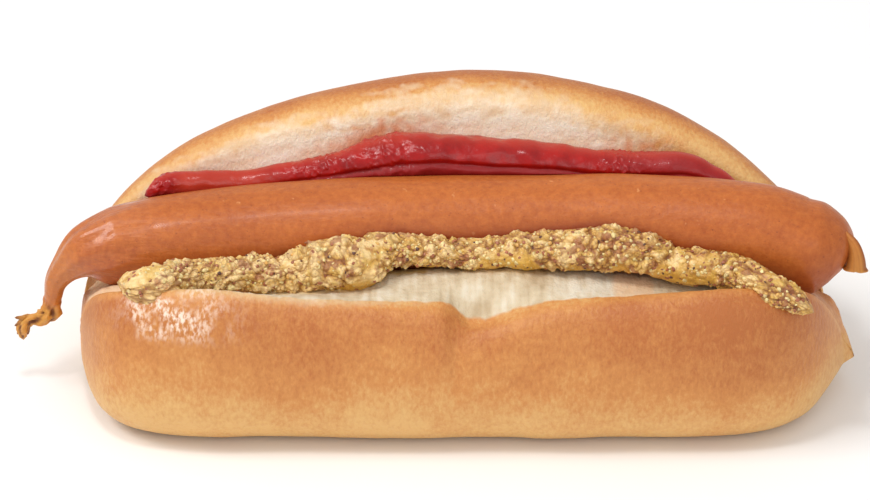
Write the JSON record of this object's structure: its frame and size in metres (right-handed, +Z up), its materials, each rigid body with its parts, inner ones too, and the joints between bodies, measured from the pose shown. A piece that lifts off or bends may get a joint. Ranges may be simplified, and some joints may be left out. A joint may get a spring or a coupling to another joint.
{
  "type": "hot dog",
  "caption": "Hot dog: long soft bun open along its front, plump sausage with twisted casing tail, wholegrain mustard bead in front and ketchup ribbon behind.",
  "frame": {"origin": "middle of the bounding box at the height of the bun's flat base", "axes": "+X along the bun to the sausage's blunt end, -Y towards the open front, +Z up"},
  "size_m": [0.1687, 0.0696, 0.054],
  "materials": {
    "bun": "baked crust, satin on the brow, pale open crumb inside",
    "sausage": "smooth cooked casing with a moist sheen",
    "mustard": "coarse wet paste full of seeds and hulls",
    "ketchup": "wet gloss"
  },
  "bodies": {
    "root": {"bun": "bun", "sausage": "sausage", "mustard": "mustard", "ketchup": "ketchup"}
  },
  "joints": []
}
